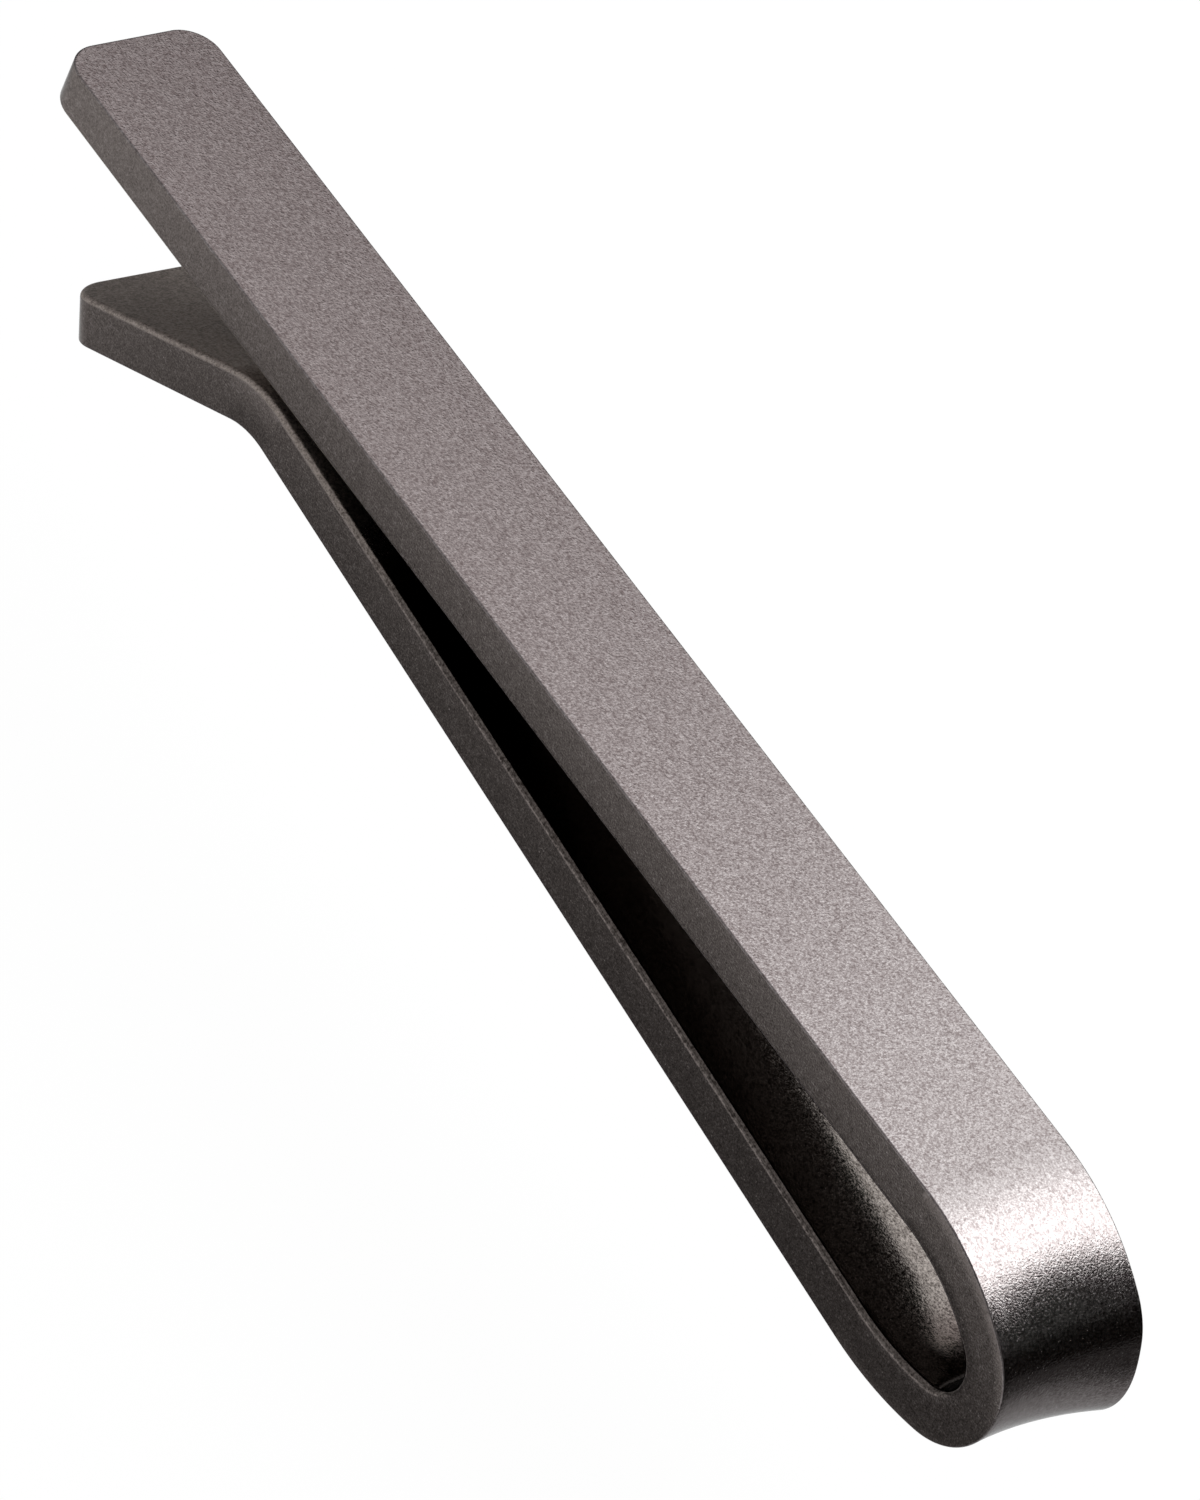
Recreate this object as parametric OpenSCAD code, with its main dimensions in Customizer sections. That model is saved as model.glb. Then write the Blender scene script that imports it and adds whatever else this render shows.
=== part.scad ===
// Folded tie clip, in millimetres.
// One flat strip of spring steel: a straight front bar, a hairpin bend, and a spring leg that comes
// back under the bar, pinches the cloth at a rounded grip bend and ends in a flared lip.
// The front face of the bar looks up, +Z. The hairpin is at +X and the bar's tip at -X.
// The origin is at the middle of the footprint, on the surface that the clip lies on.

/* [Strip] */
// Width of the strip, measured across the bar
strip_w = 6; // [4:0.1:9]
// Thickness of the metal
strip_t = 1.8; // [1:0.05:2.2]
// Radius of the crisp edges round the outer face
outer_edge_r = 0.07; // [0.05:0.01:0.3]
// Radius of the rolled edges round the inner face
inner_edge_r = 0.22; // [0.1:0.01:0.5]

/* [Front bar] */
// Length of the flat bar, from its tip to the start of the bend
bar_l = 51.6; // [40:0.2:65]
// Corner radius of the bar's tip, seen from the front
tip_r = 1.3; // [0.6:0.1:1.8]

/* [Hairpin bend] */
// Inner radius of the wide shoulder that leaves the bar
shoulder_r = 6.8; // [4:0.1:10]
// Degrees that the shoulder turns
shoulder_turn = 36; // [15:1:60]
// Inner radius of the tight apex
apex_r = 1.3; // [1:0.05:2.5]
// Inner radius of the heel that runs out into the leg
heel_r = 9.6; // [5:0.1:14]
// Degrees that the heel turns
heel_turn = 21; // [10:1:40]
// Depth of the saddle hollow that bending leaves across the outer face
saddle_d = 0.2; // [0.05:0.01:0.35]

/* [Spring leg] */
// Length of the straight part of the leg
leg_l = 36.4; // [26:0.2:50]
// Gap between the grip bend and the back of the bar, with nothing clipped
grip_gap = 0.4; // [0.3:0.05:1.5]

/* [Grip bend and lip] */
// Radius of the grip bend, on its hollow lower side
grip_r = 3.3; // [1.5:0.1:6]
// Slope of the lip, in degrees below the bar
lip_angle = 27.3; // [12:0.1:45]
// Length of the flat lip, from the grip bend to its end
lip_l = 9.2; // [4:0.1:14]
// Corner radius of the lip's end, seen from above
lip_r = 1.4; // [0.6:0.1:1.8]

/* [Hidden] */
$fn = 64;
gunmetal = [0.40, 0.38, 0.37];

// A place along the strip is [x, z, heading]: a point of its inner face and the way that it runs.
// The heading is in degrees from +X towards +Z, and the outer face lies to its left.
function x_of(p) = p[0];
function z_of(p) = p[1];
function heading(p) = p[2];

// The place after a straight run, and after a bend towards the inner side.
// A negative radius and turn bend the strip the other way.
function ahead(p, run) = [
    x_of(p) + run * cos(heading(p)),
    z_of(p) + run * sin(heading(p)),
    heading(p)
];
function bend_centre(p, r) = [x_of(p) + r * sin(heading(p)), z_of(p) - r * cos(heading(p))];
function bent(p, r, turn) = let (c = bend_centre(p, r), h = heading(p) - turn)
    [c[0] - r * sin(h), c[1] + r * cos(h), h];

// The leg rises towards the bar by just the slope that leaves grip_gap under the bar's back.
// The gap, written out along the bends, is rise_cos * cos(slope) + rise_sin * sin(slope) - fixed_drop.
grip_top_r = grip_r + strip_t;
shoulder_drop = shoulder_r * (1 - cos(shoulder_turn)) + apex_r * cos(shoulder_turn);
rise_cos = (apex_r - heel_r) * cos(heel_turn) + heel_r + grip_top_r;
rise_sin = (apex_r - heel_r) * sin(heel_turn) - leg_l;
fixed_drop = grip_top_r - shoulder_drop;
leg_slope = atan2(rise_sin, rise_cos)
    + acos((grip_gap + fixed_drop) / norm([rise_cos, rise_sin]));

apex_turn = 180 + leg_slope - shoulder_turn - heel_turn;
grip_turn = leg_slope + lip_angle;

// The strip's route, before it is moved to the origin: the bar's outer face is at z = 0
bar_end = [0, -strip_t, 0];
apex_start = bent(bar_end, shoulder_r, shoulder_turn);
heel_start = bent(apex_start, apex_r, apex_turn);
leg_start = bent(heel_start, heel_r, heel_turn);
grip_start = ahead(leg_start, leg_l);
lip_start = bent(grip_start, -grip_top_r, -grip_turn);
lip_end = ahead(lip_start, lip_l);

// How far the clip reaches, so that the origin stays in the middle of its footprint.
// An edge of radius r round a free end turns about a centre at that depth from the inner face.
function edge_centre(p, r, depth) = [
    x_of(p) - r * cos(heading(p)) - depth * sin(heading(p)),
    z_of(p) - r * sin(heading(p)) + depth * cos(heading(p))
];
lip_upper_edge = edge_centre(lip_end, inner_edge_r, inner_edge_r);
lip_lower_edge = edge_centre(lip_end, outer_edge_r, strip_t - outer_edge_r);
hairpin_reach = bend_centre(apex_start, apex_r)[0] + apex_r + strip_t;
hairpin_low = bend_centre(heel_start, heel_r)[1] - heel_r - strip_t;
tip_reach = min(-bar_l, lip_upper_edge[0] - inner_edge_r);
base_z = min(hairpin_low, lip_lower_edge[1] - outer_edge_r);
to_origin = [-(tip_reach + hairpin_reach) / 2, 0, -base_z];

// Section of the strip: width along X, and thickness along Y from the inner face at 0
module section() {
    for (side = [-1, 1]) scale([side, 1]) rim(strip_w / 2);
}

// Profile of a rim, from x = 0 out to the rounded edges at x = reach
module rim(reach) {
    square([reach - inner_edge_r, strip_t]);
    translate([0, inner_edge_r]) square([reach - outer_edge_r, strip_t - inner_edge_r]);
    translate([0, inner_edge_r]) square([reach, strip_t - inner_edge_r - outer_edge_r]);
    translate([reach - inner_edge_r, inner_edge_r]) circle(inner_edge_r);
    translate([reach - outer_edge_r, strip_t - outer_edge_r]) circle(outer_edge_r);
}

// A straight run of strip along +X, with its inner face on z = 0
module run_of_strip(length) {
    rotate([90, 0, 90]) linear_extrude(length) section();
}

// A straight run whose far end has rounded corners
module tongue(length, corner_r) {
    flat = strip_w - 2 * corner_r;
    run_of_strip(length - corner_r);
    translate([length - corner_r, 0, 0]) {
        translate([0, flat / 2, 0]) rotate([90, 0, 0]) linear_extrude(flat) rim(corner_r);
        translate([0, flat / 2, 0]) rotate_extrude(angle = 90) rim(corner_r);
        translate([0, -flat / 2, 0]) rotate(-90) rotate_extrude(angle = 90) rim(corner_r);
    }
}

// Puts a child that runs along +X at a place along the strip
module at(p) {
    translate(to_origin) translate([x_of(p), 0, z_of(p)]) rotate([0, -heading(p), 0]) children();
}

// The hairpin is a loft of sections along its three bends. The section's outer and inner faces
// both sag towards the inside, most at the middle of the hairpin and not at all at its ends.
step_turn = 4;
face_steps = 8;
corner_steps = 3;

function arc_length(r, turn) = (r + strip_t / 2) * turn * PI / 180;
shoulder_l = arc_length(shoulder_r, shoulder_turn);
apex_l = arc_length(apex_r, apex_turn);
heel_l = arc_length(heel_r, heel_turn);
hairpin_l = shoulder_l + apex_l + heel_l;
function sag_at(length) = saddle_d * pow(sin(180 * length / hairpin_l), 2);

// Stations along one bend, each as [place, sag], from its second one to its end
function stations(start, r, turn, length_before) = let (n = ceil(turn / step_turn))
    [for (i = [1:n]) [
        bent(start, r, turn * i / n),
        sag_at(length_before + arc_length(r, turn * i / n))
    ]];
hairpin_stations = concat(
    [[bar_end, 0]],
    stations(bar_end, shoulder_r, shoulder_turn, 0),
    stations(apex_start, apex_r, apex_turn, shoulder_l),
    stations(heel_start, heel_r, heel_turn, shoulder_l + apex_l)
);

// One face of a section with its two rounded edges, as [across, depth] points from left to right.
// Its edges, of radius r, turn round centres at that depth, and rise is 1 on the outer face and
// -1 on the inner. The face between them is flat_half wide on each side of the middle.
function chain(r, depth, rise, sag) = let (flat_half = strip_w / 2 - r) concat(
    [for (i = [0:corner_steps - 1]) let (a = 180 - 90 * i / corner_steps)
        [-flat_half + r * cos(a), depth + rise * r * sin(a)]],
    [for (i = [0:face_steps]) let (w = flat_half * (2 * i / face_steps - 1))
        [w, depth + rise * r - sag * (1 - pow(w / flat_half, 2))]],
    [for (i = [1:corner_steps]) let (a = 90 - 90 * i / corner_steps)
        [flat_half + r * cos(a), depth + rise * r * sin(a)]]
);
function reversed(list) = [for (i = [len(list) - 1:-1:0]) list[i]];
function ring(sag) = concat(
    chain(outer_edge_r, strip_t - outer_edge_r, 1, sag),
    reversed(chain(inner_edge_r, inner_edge_r, -1, sag))
);
function placed_ring(station) = [for (q = ring(station[1])) [
    x_of(station[0]) - q[1] * sin(heading(station[0])),
    q[0],
    z_of(station[0]) + q[1] * cos(heading(station[0]))
]];

// A closed solid through rings that each hold two chains of points, one out and one back
module loft_of_rings(rings) {
    count = len(rings[0]);
    last = (len(rings) - 1) * count;
    polyhedron(
        points = [for (r = rings) each r],
        faces = concat(
            [for (i = [0:count / 2 - 2]) each let (j = count - 1 - i)
                [[i + 1, i, j], [i + 1, j, j - 1]]],
            [for (k = [0:len(rings) - 2], i = [0:count - 1]) each let (
                a = k * count + i,
                b = k * count + (i + 1) % count
            ) [[a, b, b + count], [a, b + count, a + count]]],
            [for (i = [0:count / 2 - 2]) each let (a = last + i, b = last + count - 1 - i)
                [[a, a + 1, b], [a + 1, b - 1, b]]]
        ),
        convexity = 6
    );
}

// Bends of one radius, swept round the strip's route
module swept_bend(p, r, turn) {
    centre = bend_centre(p, r);
    translate(to_origin) translate([centre[0], 0, centre[1]]) rotate([90, 0, 0])
        rotate(heading(p) - 90) rotate_extrude(angle = turn)
            translate([-r - strip_t, 0]) rotate(-90) section();
}

module front_bar() {
    color(gunmetal) at([0, 0, 180]) tongue(bar_l, tip_r);
}

module hairpin_bend() {
    color(gunmetal) translate(to_origin)
        loft_of_rings([for (s = hairpin_stations) placed_ring(s)]);
}

module spring_leg() {
    color(gunmetal) at(leg_start) run_of_strip(leg_l);
}

module grip_bend() {
    color(gunmetal) swept_bend(grip_start, -grip_top_r, grip_turn);
}

module flared_lip() {
    color(gunmetal) at(lip_start) tongue(lip_l, lip_r);
}

front_bar();
hairpin_bend();
spring_leg();
grip_bend();
flared_lip();
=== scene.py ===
import math

import bpy
from mathutils import Matrix, Vector


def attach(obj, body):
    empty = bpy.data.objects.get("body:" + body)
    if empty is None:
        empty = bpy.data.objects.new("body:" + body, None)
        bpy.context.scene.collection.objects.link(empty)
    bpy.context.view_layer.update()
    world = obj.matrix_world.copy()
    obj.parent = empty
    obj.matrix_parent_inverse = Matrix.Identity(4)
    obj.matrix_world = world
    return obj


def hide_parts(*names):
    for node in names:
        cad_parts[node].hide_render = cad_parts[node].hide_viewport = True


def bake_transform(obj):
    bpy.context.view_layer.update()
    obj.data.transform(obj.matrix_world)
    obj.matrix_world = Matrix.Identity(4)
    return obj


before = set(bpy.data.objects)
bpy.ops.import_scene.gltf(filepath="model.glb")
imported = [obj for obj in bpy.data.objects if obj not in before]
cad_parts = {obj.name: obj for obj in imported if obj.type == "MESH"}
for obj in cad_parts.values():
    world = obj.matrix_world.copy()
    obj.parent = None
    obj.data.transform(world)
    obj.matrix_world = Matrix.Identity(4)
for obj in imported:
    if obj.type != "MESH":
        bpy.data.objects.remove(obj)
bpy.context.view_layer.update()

# The clip is modelled in millimetres, at the place that it has in the frame, and is brought to
# metres at the end. It is one strip of metal, which is cut into pieces at its bend lines.
# Its outer face is the one that shows on the tie, and that goes on round the hairpin and under
# the leg. Places along the strip are (x, z), on its inner face.
MM = 0.001

STRIP_WIDTH, STRIP_THICKNESS = 6.0, 1.8
OUTER_EDGE, INNER_EDGE = 0.07, 0.22
OUTER_EDGE_STEPS, INNER_EDGE_STEPS = 4, 6
CORNER_STEPS = 20

BAR_TIP_X, BAR_END_X, BAR_BACK_Z = -28.96641, 22.63359, 6.76283
BAR_FRONT_Z = BAR_BACK_Z + STRIP_THICKNESS
TIP_CORNER = 1.3

LEG_START, LEG_LENGTH = (22.72838, 2.85442), 36.4
LEG_RISE = 5.49398

GRIP_CENTRE, GRIP_TOP_RADIUS, GRIP_TURN = (-13.99269, 1.26283), 5.1, 32.79398
GRIP_STEPS, GRIP_COLUMNS, GRIP_SIDE_STEPS = 22, 6, 2

# The lip's end isn't quite square: its near corner reaches further than its far one
LIP_START, LIP_LENGTH = (-16.33181, 5.79478), 9.2
LIP_DROP, LIP_CORNER, LIP_SKEW = 27.3, 1.4, 0.34

# The hairpin's bends: centre, inner radius, turn in degrees and the number of steps
SHOULDER = ((22.63359, -0.03717), 6.8, 36.0, 36)
APEX = ((25.86641, 4.41242), 1.3, 128.49398, 72)
HEEL = ((23.64749, 12.41032), 9.6, 21.0, 21)
HAIRPIN = (SHOULDER, APEX, HEEL)
HAIRPIN_START = 90.0
HAIRPIN_COLUMNS, HAIRPIN_SIDE_STEPS = 16, 4

# Bending leaves a hollow across the outer face, and the far edge droops low in the bend.
# The droop comes and goes between two shares of the way round the hairpin.
SADDLE_DEPTH = 0.2
FAR_EDGE_DROOP, DROOP_POWER = 0.45, 1.3
DROOP_IN, DROOP_OUT = (0.445, 0.61), (0.95, 0.62)

# How near two places count as the same, how near doubles are merged, and how many degrees
# outside a bend count as much as a millimetre outside the strip
SAME_PLACE, DOUBLES = 1e-3, 1e-5
DEGREES_PER_MM = 10

SMOOTH_UP_TO = math.radians(50)


def deselect_all():
    if bpy.context.object and bpy.context.object.mode != "OBJECT":
        bpy.ops.object.mode_set(mode="OBJECT")
    bpy.ops.object.select_all(action="DESELECT")


def take(piece):
    """Makes the piece the only one that is selected."""
    deselect_all()
    piece.select_set(True)
    bpy.context.view_layer.objects.active = piece


def apply_place():
    bpy.ops.object.transform_apply(location=True, rotation=True, scale=True)


def pick_nothing(kind):
    """Clears the selection in the mesh, ready for picking vertices or edges."""
    bpy.ops.object.mode_set(mode="EDIT")
    bpy.ops.mesh.select_mode(type=kind)
    bpy.ops.mesh.select_all(action="DESELECT")
    bpy.ops.object.mode_set(mode="OBJECT")


def pick_points(piece, test):
    """Selects the points that pass the test, in edit mode."""
    pick_nothing("VERT")
    for point in piece.data.vertices:
        point.select = test(point.co)
    bpy.ops.object.mode_set(mode="EDIT")


def pick_edges(piece, test):
    """Selects the edges whose two ends together pass the test, in edit mode."""
    pick_nothing("EDGE")
    points = piece.data.vertices
    for edge in piece.data.edges:
        edge.select = test(*(points[i].co for i in edge.vertices))
    bpy.ops.object.mode_set(mode="EDIT")


def near(a, b):
    return abs(a - b) < SAME_PLACE


def bevel(width, steps, what):
    bpy.ops.mesh.bevel(offset=width, segments=steps, profile=0.5, affect=what)


def faces_of(inner_z, outer_z):
    """The height, the edge radius and the edge's steps of a flat run's two faces."""
    return (
        (outer_z, OUTER_EDGE, OUTER_EDGE_STEPS),
        (inner_z, INNER_EDGE, INNER_EDGE_STEPS),
    )


def slab(name, x_ends, z_ends):
    """A block of strip, as wide as the strip."""
    deselect_all()
    bpy.ops.mesh.primitive_cube_add(size=1, location=(sum(x_ends) / 2, 0, sum(z_ends) / 2))
    piece = bpy.context.object
    piece.scale = (abs(x_ends[1] - x_ends[0]), STRIP_WIDTH, abs(z_ends[1] - z_ends[0]))
    piece.name = piece.data.name = name
    apply_place()
    return piece


def round_rims(piece, inner_z, outer_z, cut_ends):
    """Rounds the rims of both faces, apart from those at the ends where the strip goes on."""
    for z, radius, steps in faces_of(inner_z, outer_z):
        pick_edges(
            piece,
            lambda a, b: near(a.z, z) and near(b.z, z)
            and not any(near(a.x, x) and near(b.x, x) for x in cut_ends),
        )
        bevel(radius, steps, "EDGES")
    bpy.ops.object.mode_set(mode="OBJECT")


def tongue(name, tip_x, end_x, inner_z, outer_z, corner):
    """A straight end of the strip: a slab with two rounded corners at its free end."""
    piece = slab(name, (tip_x, end_x), (inner_z, outer_z))
    pick_edges(piece, lambda a, b: near(a.x, tip_x) and near(b.x, tip_x) and near(a.y, b.y))
    bevel(corner, CORNER_STEPS, "EDGES")
    round_rims(piece, inner_z, outer_z, [end_x])
    return piece


def section(name, x, inner_z, outer_z, columns, side_steps):
    """The outline of the strip's section, standing across it at x and ready to be spun."""
    deselect_all()
    bpy.ops.mesh.primitive_plane_add(
        size=1,
        location=(x, 0, (inner_z + outer_z) / 2),
        rotation=(0, math.pi / 2, 0),
    )
    piece = bpy.context.object
    piece.scale = (abs(outer_z - inner_z), STRIP_WIDTH, 1)
    piece.name = piece.data.name = name
    apply_place()
    for z, radius, steps in faces_of(inner_z, outer_z):
        pick_points(piece, lambda p: near(p.z, z))
        bevel(radius, steps, "VERTICES")
    bpy.ops.mesh.select_all(action="SELECT")
    bpy.ops.mesh.delete(type="ONLY_FACE")
    for z in (inner_z, outer_z):
        pick_edges(piece, lambda a, b: near(a.z, z) and near(b.z, z))
        bpy.ops.mesh.subdivide(number_cuts=columns - 1)
    for y in (-STRIP_WIDTH / 2, STRIP_WIDTH / 2):
        pick_edges(piece, lambda a, b: near(a.y, y) and near(b.y, y))
        bpy.ops.mesh.subdivide(number_cuts=side_steps - 1)
    bpy.ops.mesh.select_all(action="SELECT")
    return piece


def turn(centre, degrees, steps):
    """Spins what is selected round a bend's centre. A positive turn goes from up towards +X."""
    bpy.ops.mesh.spin(
        steps=steps,
        angle=-math.radians(degrees),
        center=(centre[0], 0, centre[1]),
        axis=(0, 1, 0),
    )


def close_ends():
    """Caps the open ends, merges what is double and turns every face outwards."""
    bpy.ops.mesh.select_mode(type="EDGE")
    bpy.ops.mesh.select_all(action="SELECT")
    bpy.ops.mesh.remove_doubles(threshold=DOUBLES)
    bpy.ops.mesh.select_all(action="DESELECT")
    bpy.ops.mesh.select_non_manifold()
    bpy.ops.mesh.edge_face_add()
    bpy.ops.mesh.select_all(action="SELECT")
    bpy.ops.mesh.normals_make_consistent(inside=False)
    bpy.ops.object.mode_set(mode="OBJECT")


def clamp(value, low, high):
    return min(max(value, low), high)


def note_facing(piece, depth_of):
    """Notes 1 on the outer face, 0 on the cut sides and -1 on the inner face, where depth is 0."""
    facing = []
    for point in piece.data.vertices:
        depth = depth_of(point.co)
        outer = clamp((depth - STRIP_THICKNESS + OUTER_EDGE) / OUTER_EDGE, 0, 1)
        inner = clamp((depth - INNER_EDGE) / INNER_EDGE, -1, 0)
        facing.append(outer + inner)
    piece.data.attributes.new("facing", "FLOAT", "POINT").data.foreach_set("value", facing)


def place_along(piece, start, degrees):
    """Turns a piece that runs from x = 0 towards -X, inner face at z = 0, and puts it at start."""
    take(piece)
    piece.rotation_euler = (0, math.radians(degrees), 0)
    piece.location = (start[0], 0, start[1])
    apply_place()


def bar_piece():
    piece = tongue("bar", BAR_TIP_X, BAR_END_X, BAR_BACK_Z, BAR_FRONT_Z, TIP_CORNER)
    note_facing(piece, lambda p: p.z - BAR_BACK_Z)
    return piece


def leg_piece():
    piece = slab("leg", (-LEG_LENGTH, 0), (-STRIP_THICKNESS, 0))
    round_rims(piece, 0, -STRIP_THICKNESS, [-LEG_LENGTH, 0])
    note_facing(piece, lambda p: -p.z)
    place_along(piece, LEG_START, LEG_RISE)
    return piece


def grip_piece():
    """The strip's section, spun round the grip bend."""
    piece = section("grip", 0, 0, -STRIP_THICKNESS, GRIP_COLUMNS, GRIP_SIDE_STEPS)
    turn((0, -GRIP_TOP_RADIUS), -GRIP_TURN, GRIP_STEPS)
    close_ends()
    note_facing(piece, lambda p: GRIP_TOP_RADIUS - math.hypot(p.x, p.z + GRIP_TOP_RADIUS))
    rise = math.radians(LEG_RISE)
    start = (
        GRIP_CENTRE[0] + GRIP_TOP_RADIUS * math.sin(rise),
        GRIP_CENTRE[1] + GRIP_TOP_RADIUS * math.cos(rise),
    )
    place_along(piece, start, LEG_RISE)
    return piece


def lip_piece():
    piece = tongue("lip", -LIP_LENGTH, 0, 0, -STRIP_THICKNESS, LIP_CORNER)
    note_facing(piece, lambda p: -p.z)
    for point in piece.data.vertices:
        point.co.x -= LIP_SKEW * (point.co.y / STRIP_WIDTH) * (point.co.x / LIP_LENGTH)
    place_along(piece, LIP_START, -LIP_DROP)
    return piece


def middle_length(bend):
    """The length of a bend along the middle of the metal."""
    _, radius, degrees, _ = bend
    return (radius + STRIP_THICKNESS / 2) * math.radians(degrees)


def place_in_hairpin(p):
    """A point's share of the way round the hairpin, its depth in the strip and its way out.

    It lies in the bend that it misses least, and on a border in the bend that comes first.
    """
    total = sum(middle_length(bend) for bend in HAIRPIN)
    start, before = HAIRPIN_START, 0.0
    found = []
    for bend in HAIRPIN:
        centre, radius, degrees, _ = bend
        out = Vector((p.x - centre[0], 0, p.z - centre[1]))
        part = (start - math.degrees(math.atan2(out.z, out.x))) / degrees
        depth = out.length - radius
        miss = max(-part, part - 1, 0) * degrees
        miss += max(-depth, depth - STRIP_THICKNESS, 0) * DEGREES_PER_MM
        share = (before + middle_length(bend) * part) / total
        found.append((round(miss, 5), share, depth, out.normalized()))
        start, before = start - degrees, before + middle_length(bend)
    return min(found, key=lambda place: place[0])[1:]


def smooth_rise(value, start, end):
    """0 at the start and 1 at the end, with a soft step between."""
    part = clamp((value - start) / (end - start), 0, 1)
    return part * part * (3 - 2 * part)


def hairpin_piece():
    """The strip's section, spun round the three bends, then hollowed across like a saddle."""
    piece = section(
        "hairpin", BAR_END_X, BAR_BACK_Z, BAR_FRONT_Z, HAIRPIN_COLUMNS, HAIRPIN_SIDE_STEPS
    )
    for centre, _, degrees, steps in HAIRPIN:
        turn(centre, degrees, steps)
    close_ends()
    note_facing(piece, lambda p: place_in_hairpin(p)[1])
    for point in piece.data.vertices:
        share, _, out = place_in_hairpin(point.co)
        across = point.co.y / (STRIP_WIDTH / 2)
        hollow = max(0, 1 - across**2) * math.sin(math.pi * clamp(share, 0, 1)) ** 2
        droop = max(0, (1 + across) / 2) ** DROOP_POWER
        droop *= smooth_rise(share, *DROOP_IN) * smooth_rise(share, *DROOP_OUT)
        point.co += out * (FAR_EDGE_DROOP * droop - SADDLE_DEPTH * hollow)
    return piece


# The Mix node's sockets for colours: they share their names with those for numbers
COLOUR_A, COLOUR_B, COLOUR_RESULT = 6, 7, 2


class Shading:
    """A material's or the world's nodes being drawn up: it adds nodes and links them."""

    def __init__(self, owner):
        owner.use_nodes = True
        self.tree = owner.node_tree
        self.tree.nodes.clear()

    def node(self, kind, settings, sockets, output=0):
        """Adds a node, with its settings first and then its sockets, and gives an output."""
        added = self.tree.nodes.new("ShaderNode" + kind)
        for key, value in settings.items():
            if key == "stops":
                ramp = added.color_ramp
                while len(ramp.elements) < len(value):
                    ramp.elements.new(0.5)
                for element, (place, shade) in zip(ramp.elements, value):
                    element.position = place
                    element.color = (*shade, 1)
            else:
                setattr(added, key, value)
        for key, value in sockets.items():
            if isinstance(value, Signal):
                self.tree.links.new(value.socket, added.inputs[key])
            else:
                added.inputs[key].default_value = value
        return Signal(self, added.outputs[output])

    def sum(self, operation, *values):
        return self.node("Math", {"operation": operation}, dict(enumerate(values)))

    def place(self):
        """Where a point is on its object, in mm."""
        position = self.node("TexCoord", {}, {}, "Object")
        return self.node("VectorMath", {"operation": "SCALE"}, {0: position, "Scale": 1 / MM})

    def along(self, axis):
        """How far along its object's X or Y a point is, in mm."""
        return self.node("SeparateXYZ", {}, {0: self.place()}, axis)

    def ray(self, kind):
        return self.node("LightPath", {}, {}, f"Is {kind} Ray")

    def mirrored(self):
        """1 for what is seen in metal or through glass."""
        return self.ray("Glossy") + self.ray("Transmission")

    def blend(self, a, b, factor):
        """A mix of two colours, each a signal or red, green and blue."""
        colours = [c if isinstance(c, Signal) else (*c, 1) for c in (a, b)]
        sockets = {"Factor": factor, COLOUR_A: colours[0], COLOUR_B: colours[1]}
        return self.node("Mix", {"data_type": "RGBA"}, sockets, COLOUR_RESULT)

    def diffuse(self, colour):
        return self.node("BsdfDiffuse", {}, {"Color": (*colour, 1)}, "BSDF")

    def glow(self, colour, strength):
        if not isinstance(colour, Signal):
            colour = (*colour, 1)
        return self.node("Emission", {}, {"Color": colour, "Strength": strength}, "Emission")

    def mix(self, a, b, factor):
        """A mix of two shaders."""
        return self.node("MixShader", {}, {0: factor, 1: a, 2: b}, "Shader")

    def close(self, shader, kind="OutputMaterial"):
        end = self.tree.nodes.new("ShaderNode" + kind)
        self.tree.links.new(shader.socket, end.inputs["Surface"])


class Signal:
    """What varies over a surface. Sums written with it become Math nodes."""

    def __init__(self, shading, socket):
        self.shading, self.socket = shading, socket

    def __add__(self, other):
        return self.shading.sum("ADD", self, other)

    def __radd__(self, other):
        return self.shading.sum("ADD", other, self)

    def __sub__(self, other):
        return self.shading.sum("SUBTRACT", self, other)

    def __rsub__(self, other):
        return self.shading.sum("SUBTRACT", other, self)

    def __mul__(self, other):
        return self.shading.sum("MULTIPLY", self, other)

    def __rmul__(self, other):
        return self.shading.sum("MULTIPLY", other, self)

    def fade(self, low, high):
        """0 below low and 1 above high, with a soft step between."""
        return self.shading.node(
            "MapRange",
            {"interpolation_type": "SMOOTHSTEP"},
            {"Value": self, "From Min": low, "From Max": high},
        )


# The metal's darkest and lightest specks: on the outer face, on the cut sides, deep inside,
# darkened with painted shade for the shaded fold, and inside near the open end, lifted with
# painted light
FACE_TINTS = (0.099, 0.082, 0.081), (0.228, 0.207, 0.206)
SIDE_TINTS = (0.0625, 0.0533, 0.050), (0.233, 0.201, 0.190)
DEEP_SHADED_TINTS = (0.022, 0.018, 0.016), (0.122, 0.106, 0.098)
DULL_LIT_TINTS = (0.134, 0.112, 0.101), (0.372, 0.322, 0.294)
DULL_LIT_FROM_X, DEEP_SHADED_FROM_X = -13, -4

# The same for its roughness and for the depth of its pits, which is a share of the deepest
BLASTED_ROUGHNESS, DEEP_ROUGHNESS, DULL_ROUGHNESS = 0.20, 0.12, 0.45
FACE_PITS, SIDE_PITS, DEEP_PITS, DULL_PITS = 1.0, 0.5, 0.25, 0.9
PIT_DEPTH = 0.008

# Noise: scale in features per mm, detail and roughness
GRAIN, FINE, COARSE = (7.5, 2.5, 0.65), (15.0, 1.0, 0.5), (3.0, 2.0, 0.55)
CELLS_PER_MM = 10.0

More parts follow.
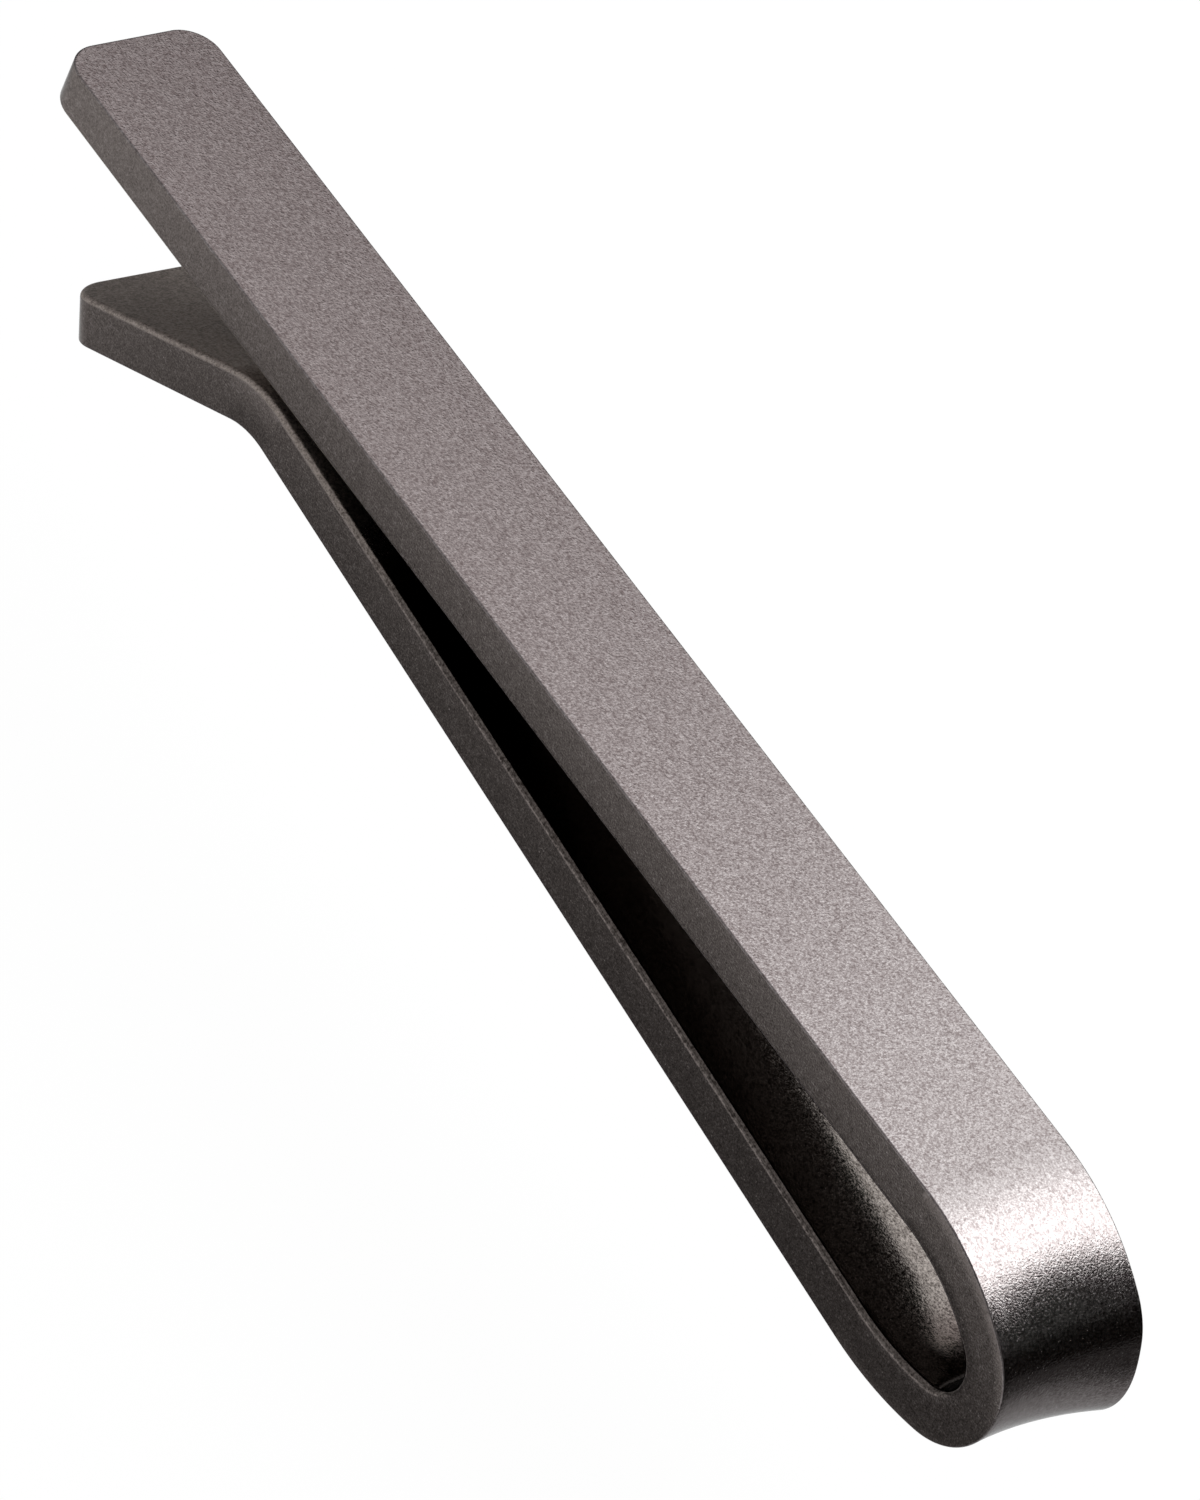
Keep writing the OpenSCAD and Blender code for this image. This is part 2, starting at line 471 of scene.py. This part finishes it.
# How much of each pattern is in the specks of the faces and sides, in the roughness and in the
# ragged borders of the faces, and the values of facing between which the metal changes there
GRAIN_ON_FACE, FINE_ON_FACE, COARSE_ON_FACE, CELLS_ON_FACE = 1.8, 1.1, 0.4, 0.25
GRAIN_ON_SIDE, FINE_ON_SIDE = 1.0, 0.9
GRAIN_IN_ROUGHNESS, FINE_IN_ROUGHNESS = 0.1, 0.2
GRAIN_IN_BORDER, OUTER_BORDER, INNER_BORDER = 0.9, (0.0, 0.45), (0.1, 0.5)

# The metal's tint at a grazing angle, which keeps the bend from going white at its edge
GRAZING_TINT = (0.6, 0.6, 0.6, 1)


def gunmetal():
    """Dark steel, bead-blasted: grainy outside, finer on the cut sides, smooth inside, with
    painted shade deep in the fold and painted light near the open end.
    """
    material = bpy.data.materials.new("blasted gunmetal")
    f = Shading(material)
    place = f.place()
    facing = f.node("Attribute", {"attribute_name": "facing"}, {}, "Fac")

    def noise(scale, detail, rough):
        sockets = {"Vector": place, "Scale": scale, "Detail": detail, "Roughness": rough}
        return f.node("TexNoise", {}, sockets, "Fac") - 0.5

    grain, fine, coarse = noise(*GRAIN), noise(*FINE), noise(*COARSE)
    cell = f.node("TexVoronoi", {}, {"Vector": place, "Scale": CELLS_PER_MM}, "Color")
    cell_tone = f.node("SeparateColor", {}, {"Color": cell}) - 0.5

    ragged = facing + grain * GRAIN_IN_BORDER
    outer = ragged.fade(*OUTER_BORDER)
    inner = (0 - ragged).fade(*INNER_BORDER)
    # 1 near the open end and 0 deep in the fold: it sets the inside's painted light and painted
    # shade, and its roughness and pits
    dull_and_lit = 1 - f.along("X").fade(DULL_LIT_FROM_X, DEEP_SHADED_FROM_X)

    specks = 0.5 + grain * GRAIN_ON_FACE + fine * FINE_ON_FACE
    specks = specks + cell_tone * CELLS_ON_FACE + coarse * COARSE_ON_FACE
    side_specks = 0.5 + grain * GRAIN_ON_SIDE + fine * FINE_ON_SIDE
    outside = f.blend(f.blend(*SIDE_TINTS, side_specks), f.blend(*FACE_TINTS, specks), outer)
    # Inside, painted shade darkens the metal deep in the fold and painted light lifts it near the
    # open end
    inside = f.blend(f.blend(*DEEP_SHADED_TINTS, specks), f.blend(*DULL_LIT_TINTS, specks), dull_and_lit)

    inner_pits = DEEP_PITS + dull_and_lit * (DULL_PITS - DEEP_PITS)
    pits = SIDE_PITS + outer * (FACE_PITS - SIDE_PITS) + inner * (inner_pits - SIDE_PITS)
    height = (fine + 0.5) * pits
    bump = f.node("Bump", {}, {"Distance": PIT_DEPTH * MM, "Height": height}, "Normal")

    inner_rough = DEEP_ROUGHNESS + dull_and_lit * (DULL_ROUGHNESS - DEEP_ROUGHNESS)
    rough = BLASTED_ROUGHNESS + grain * GRAIN_IN_ROUGHNESS + fine * FINE_IN_ROUGHNESS
    rough = rough + inner * (inner_rough - BLASTED_ROUGHNESS)
    surface = f.node(
        "BsdfPrincipled",
        {},
        {
            "Base Color": f.blend(outside, inside, inner),
            "Metallic": 1.0,
            "Roughness": rough,
            "Specular Tint": GRAZING_TINT,
            "Normal": bump,
        },
        "BSDF",
    )
    f.close(surface)
    return material


metal = gunmetal()


def finish_piece(piece, node):
    """Brings the piece to metres, smooths its shading, gives it the metal and hides the CAD part
    that it stands for.
    """
    take(piece)
    piece.scale = (MM, MM, MM)
    apply_place()
    bpy.ops.object.shade_smooth_by_angle(angle=SMOOTH_UP_TO)
    weighting = piece.modifiers.new("even faces", "WEIGHTED_NORMAL")
    weighting.keep_sharp = True
    bpy.ops.object.modifier_apply(modifier=weighting.name)
    piece.data.materials.clear()
    piece.data.materials.append(metal)
    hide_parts(node)


for make_piece, node, body in (
    (bar_piece, "front_bar", "front"),
    (leg_piece, "spring_leg", "leg"),
    (grip_piece, "grip_bend", "leg"),
    (lip_piece, "flared_lip", "leg"),
):
    piece = make_piece()
    finish_piece(piece, node)
    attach(piece, body)

hairpin = hairpin_piece()
finish_piece(hairpin, "hairpin_bend")
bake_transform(hairpin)


# The studio, in mm like the clip. White is 1 to the camera, but dimmer in the metal.
WHITE = (1, 1, 1)
WHITE_TO_CAMERA, WHITE_IN_METAL = 0.98, 0.35
WALL_LIGHT = 0.27

FLOOR_Z, FLOOR_SIZE = -7.4, 2400
PAPER, PAINTED_DARK_PAPER = (0.9, 0.9, 0.9), (0.010, 0.0072, 0.0050)

# Painted shade on the floor that only the metal sees, a painted shadow under the strip and painted
# darkness beyond the bend and the lip: how dark, and the x over which it comes in
UNDER_LEG, UNDER_HAIRPIN = (0.74, -46, -16), (0.09, -10, 14)
BEYOND_BEND, BEYOND_LIP = (0.92, 24, 57), (0.48, -62, -42)
STRIP_SHADE_Y, STRIP_SHADE_HALF = -12.2, 11
BEND_SHADE_Y, LIP_SHADE_Y = (-8, 2), (-10, 10)


def floor():
    """White paper, low enough under the clip for the leg to open above it."""
    deselect_all()
    bpy.ops.mesh.primitive_plane_add(size=FLOOR_SIZE * MM, location=(0, 0, FLOOR_Z * MM))
    piece = bpy.context.object
    piece.name = "floor"
    material = bpy.data.materials.new("white paper")
    f = Shading(material)
    x, y = f.along("X"), f.along("Y")

    def shade(dark, low, high):
        return dark * x.fade(low, high)

    # Painted shadow under the strip, and painted darkness beyond the bend and the lip, for the
    # metal only
    off_line = f.sum("ABSOLUTE", y - STRIP_SHADE_Y).fade(0, STRIP_SHADE_HALF)
    under_strip = (shade(*UNDER_LEG) + shade(*UNDER_HAIRPIN)) * (1 - off_line)
    beyond_bend = shade(*BEYOND_BEND) * y.fade(*BEND_SHADE_Y)
    beyond_lip = (BEYOND_LIP[0] - shade(*BEYOND_LIP)) * y.fade(*LIP_SHADE_Y)
    bright = (1 - under_strip) * (1 - beyond_bend) * (1 - beyond_lip)

    mirrored = f.mirrored()
    white = f.ray("Camera") * WHITE_TO_CAMERA + mirrored * WHITE_IN_METAL
    lit = f.mix(f.diffuse(PAPER), f.glow(WHITE, 1), white)
    # Where it is painted, the metal sees dark paper in place of the lit one
    f.close(f.mix(lit, f.diffuse(PAINTED_DARK_PAPER), mirrored * (1 - bright)))
    piece.data.materials.append(material)


def sheet(name, place, right, down, width, height):
    """A flat rectangle of studio gear: its local X runs to the right and its local Y up."""
    deselect_all()
    bpy.ops.mesh.primitive_plane_add(size=1)
    piece = bpy.context.object
    piece.name = name
    piece.scale = (width * MM, height * MM, 1)
    apply_place()
    x = Vector(right).normalized()
    z = x.cross(-Vector(down)).normalized()
    turned = Matrix((x, z.cross(x), z)).transposed().to_4x4()
    piece.matrix_world = Matrix.Translation(Vector(place) * MM) @ turned
    piece.visible_camera = False
    return piece


# The light panel faces the bend from a point behind it. Its length runs as nearly along the bar
# as it can. The glow is given by mm along it from that point, as a share of the peak and how red.
PANEL_POINT, PANEL_FACES = (44.6, 141, 175.7), (22, 0, 8)
PANEL_HEIGHT, PANEL_PEAK = 170, 6.8
PANEL_GLOW = (
    (-260, 0.235, 1.05),
    (-223, 0.243, 1.05),
    (-186, 0.243, 1.04),
    (-162, 0.28, 1.04),
    (-142, 0.28, 1.03),
    (-132, 0.35, 1.01),
    (-122, 0.41, 1.00),
    (-112, 0.58, 0.97),
    (-90, 0.60, 0.96),
    (-62, 0.63, 0.96),
    (-22, 1.06, 0.965),
    (90, 1.14, 0.965),
)


def light_panel():
    """One long soft panel behind and above: brightest over the bend, and fading along the bar."""
    left, right_end = PANEL_GLOW[0][0], PANEL_GLOW[-1][0]
    width = right_end - left
    towards = (Vector(PANEL_FACES) - Vector(PANEL_POINT)).normalized()
    right = (Vector((1, 0, 0)) - towards * towards.x).normalized()
    middle = Vector(PANEL_POINT) + right * (left + right_end) / 2
    panel = sheet("light panel", middle, right, towards.cross(right), width, PANEL_HEIGHT)
    material = bpy.data.materials.new("panel glow")
    f = Shading(material)
    stops = [
        ((place - left) / width, (share * red, share, share)) for place, share, red in PANEL_GLOW
    ]
    along = f.along("X") * (1 / width) + 0.5
    f.close(f.glow(f.node("ValToRGB", {"stops": stops}, {0: along}, "Color"), PANEL_PEAK))
    panel.data.materials.append(material)


FELT = (0.010, 0.0075, 0.0056)


def dark_card(name, place, right, down, width, height, soft_ends, soft_rims):
    """Black felt that only the metal sees, with soft edges."""
    card = sheet(name, place, right, down, width, height)
    card.visible_diffuse = False
    card.visible_shadow = False
    material = bpy.data.materials.new(name + " felt")
    f = Shading(material)

    def inside(axis, size, soft):
        return (size / 2 - f.sum("ABSOLUTE", f.along(axis))).fade(0, soft)

    covered = inside("X", width, soft_ends) * inside("Y", height, soft_rims)
    clear = f.node("BsdfTransparent", {}, {}, "BSDF")
    f.close(f.mix(clear, f.diffuse(FELT), covered))
    card.data.materials.append(material)


FILL_STRENGTH = 0.8


def fill_light(name, place, right, down, width, height):
    """A dim softbox that lifts the rims."""
    box = sheet(name, place, right, down, width, height)
    material = bpy.data.materials.new(name + " glow")
    f = Shading(material)
    f.close(f.glow(WHITE, FILL_STRENGTH))
    box.data.materials.append(material)


def studio_walls():
    """Dim white walls all round, which look white to the camera and bright in the metal."""
    world = bpy.data.worlds.new("studio walls")
    bpy.context.scene.world = world
    f = Shading(world)
    strength = WALL_LIGHT + f.ray("Camera") * (1 - WALL_LIGHT)
    strength = strength + f.mirrored() * (WHITE_IN_METAL - WALL_LIGHT)
    light = f.node("Background", {}, {"Color": (*WHITE, 1), "Strength": strength}, "Background")
    f.close(light, "OutputWorld")


floor()
light_panel()

# Softboxes and cards: place, the ways to the right and down, width and height, and for a card
# how soft its ends and its upper and lower rims are
fill_light("fill above", (-110, -60, 226), (0.87, 0, 0.49), (0.13, -0.97, -0.19), 300, 320)
fill_light("fill in front", (-120, -200, 60), (0.92, -0.39, 0), (0, 0, -1), 280, 170)
fill_light("fill at left", (-225, 50, 125), (0.2, -0.97, 0), (-0.45, -0.09, -0.89), 130, 100)
dark_card("right card", (132.8, 95.7, 110), (0.643, -0.766, 0), (0, 0, -1), 146, 260, 6, 12)
dark_card("left card", (-140, 110, 67), (0.62, 0.785, 0.4), (0, 0, -1), 260, 96, 40, 14)

studio_walls()

# The camera's place in mm, and its axes in the clip's frame
LENS = 172.54
CAMERA_PLACE = (102.139, -142.704, 160.430)
CAMERA_RIGHT = (0.546779, 0.761374, 0.348344)
CAMERA_UP = (-0.718832, 0.213544, 0.661574)
CAMERA_BACK = (0.429318, -0.612135, 0.664061)

lens = bpy.data.cameras.new("camera")
lens.lens = LENS
camera = bpy.data.objects.new("camera", lens)
bpy.context.scene.collection.objects.link(camera)
turned = Matrix((CAMERA_RIGHT, CAMERA_UP, CAMERA_BACK)).transposed().to_4x4()
camera.matrix_world = Matrix.Translation(Vector(CAMERA_PLACE) * MM) @ turned
bpy.context.scene.camera = camera

bpy.context.scene.view_settings.view_transform = "Standard"
